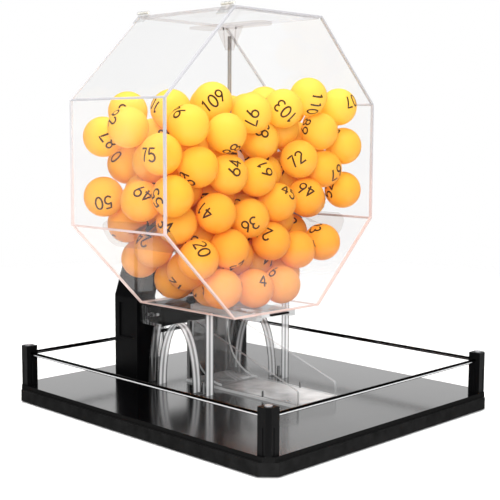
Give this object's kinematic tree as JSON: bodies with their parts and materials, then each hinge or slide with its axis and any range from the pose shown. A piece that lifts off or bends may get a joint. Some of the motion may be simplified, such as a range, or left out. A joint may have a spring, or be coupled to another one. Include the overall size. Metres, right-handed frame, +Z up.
{
  "type": "hand-cranked lottery ball drum",
  "caption": "Clear octagonal ball drum with a hand-cranked three-arm stirrer, hinged loading lid, sliding outlet gate and ball chute on a black railed base.",
  "frame": {"origin": "middle of the footprint, at the height of the surface it stands on", "axes": "+X to the right seen from the front, +Y to the back where the crank is, +Z up; the chute opens towards -Y"},
  "size_m": [0.335, 0.372, 0.4065],
  "materials": {
    "board_black": "matte black paint over board",
    "plate_black": "gloss black sheet",
    "foot_rubber": "moulded rubber",
    "post_black": "satin black",
    "cap_grey": "light grey",
    "rod_chrome": "polished",
    "stand_black": "satin black",
    "acrylic_clear": "clear polished sheet",
    "acrylic_frosted": "light frosted sheet",
    "bracket_black": "black paint",
    "screw_dark": "blackened steel",
    "shaft_steel": "turned",
    "rod_steel": "polished",
    "bush_bronze": "turned bronze",
    "nylon_white": "natural nylon, moulded",
    "crank_chrome": "plated",
    "knob_black": "moulded",
    "pull_black": "gloss",
    "ball_orange": "thin celluloid, satin",
    "ball_yellow": "thin celluloid, satin"
  },
  "bodies": {
    "machine": {"ball_slide": "acrylic_clear", "balls_lower": "ball_orange", "balls_upper": "ball_yellow", "base_board": "board_black", "base_plate": "plate_black", "base_screws": "screw_dark", "bearing_front": "bush_bronze", "bearing_head": "stand_black", "bearing_rear": "bush_bronze", "chute_floor": "acrylic_frosted", "chute_screws": "screw_dark", "chute_wall_left": "acrylic_clear", "chute_wall_right": "acrylic_clear", "drum_bottom_panel": "acrylic_clear", "drum_front_panel": "acrylic_clear", "drum_left_panel": "acrylic_clear", "drum_lower_left_panel": "acrylic_clear", "drum_lower_right_panel": "acrylic_clear", "drum_rear_panel": "acrylic_clear", "drum_right_panel": "acrylic_clear", "drum_screws": "screw_dark", "drum_upper_left_panel": "acrylic_clear", "drum_upper_right_panel": "acrylic_clear", "gate_guides": "acrylic_clear", "guard_rod_front": "rod_chrome", "guard_rod_left": "rod_chrome", "guard_rod_rear": "rod_chrome", "guard_rod_right": "rod_chrome", "lid_hinge_fixed": "acrylic_clear", "lid_hinge_pins": "nylon_white", "plate_brackets": "bracket_black", "plate_screws": "screw_dark", "post_caps": "cap_grey", "post_front_left": "post_black", "post_front_right": "post_black", "post_rear_left": "post_black", "post_rear_right": "post_black", "rubber_feet": "foot_rubber", "side_plate_left": "acrylic_clear", "side_plate_right": "acrylic_clear", "stand_crossbar": "stand_black", "stand_leg_left": "stand_black", "stand_leg_right": "stand_black", "stand_screws": "screw_dark"},
    "stirrer": {"stirrer_shaft": "shaft_steel", "stirrer_hub": "nylon_white", "shaft_collar": "shaft_steel", "stirrer_rods": "rod_steel", "grub_screws": "screw_dark", "paddle_top": "acrylic_clear", "paddle_left": "acrylic_clear", "paddle_right": "acrylic_clear", "crank_arm": "crank_chrome", "knob_pin": "shaft_steel"},
    "knob": {"crank_knob": "knob_black"},
    "lid": {"loading_lid": "acrylic_clear", "lid_hinge_moving": "acrylic_clear"},
    "gate": {"outlet_gate": "acrylic_clear", "gate_pull": "pull_black"}
  },
  "joints": [
    {"name": "stirrer_spin", "type": "hinge", "parent": "machine", "child": "stirrer", "pos_m": [0, 0.033, 0.252], "axis": [0, 1, 0], "continuous": true, "deforming": ["balls_lower", "balls_upper"]},
    {"name": "knob_spin", "type": "hinge", "parent": "stirrer", "child": "knob", "pos_m": [0, 0.168, 0.187], "axis": [0, 1, 0], "continuous": true},
    {"name": "lid_hinge", "type": "hinge", "parent": "machine", "child": "lid", "pos_m": [-0.06313, 0.033, 0.4044], "axis": [0, -1, 0], "range_deg": [0, 105]},
    {"name": "gate_slide", "type": "slide", "parent": "machine", "child": "gate", "axis": [0, -1, 0], "range_m": [0, 0.048]}
  ]
}
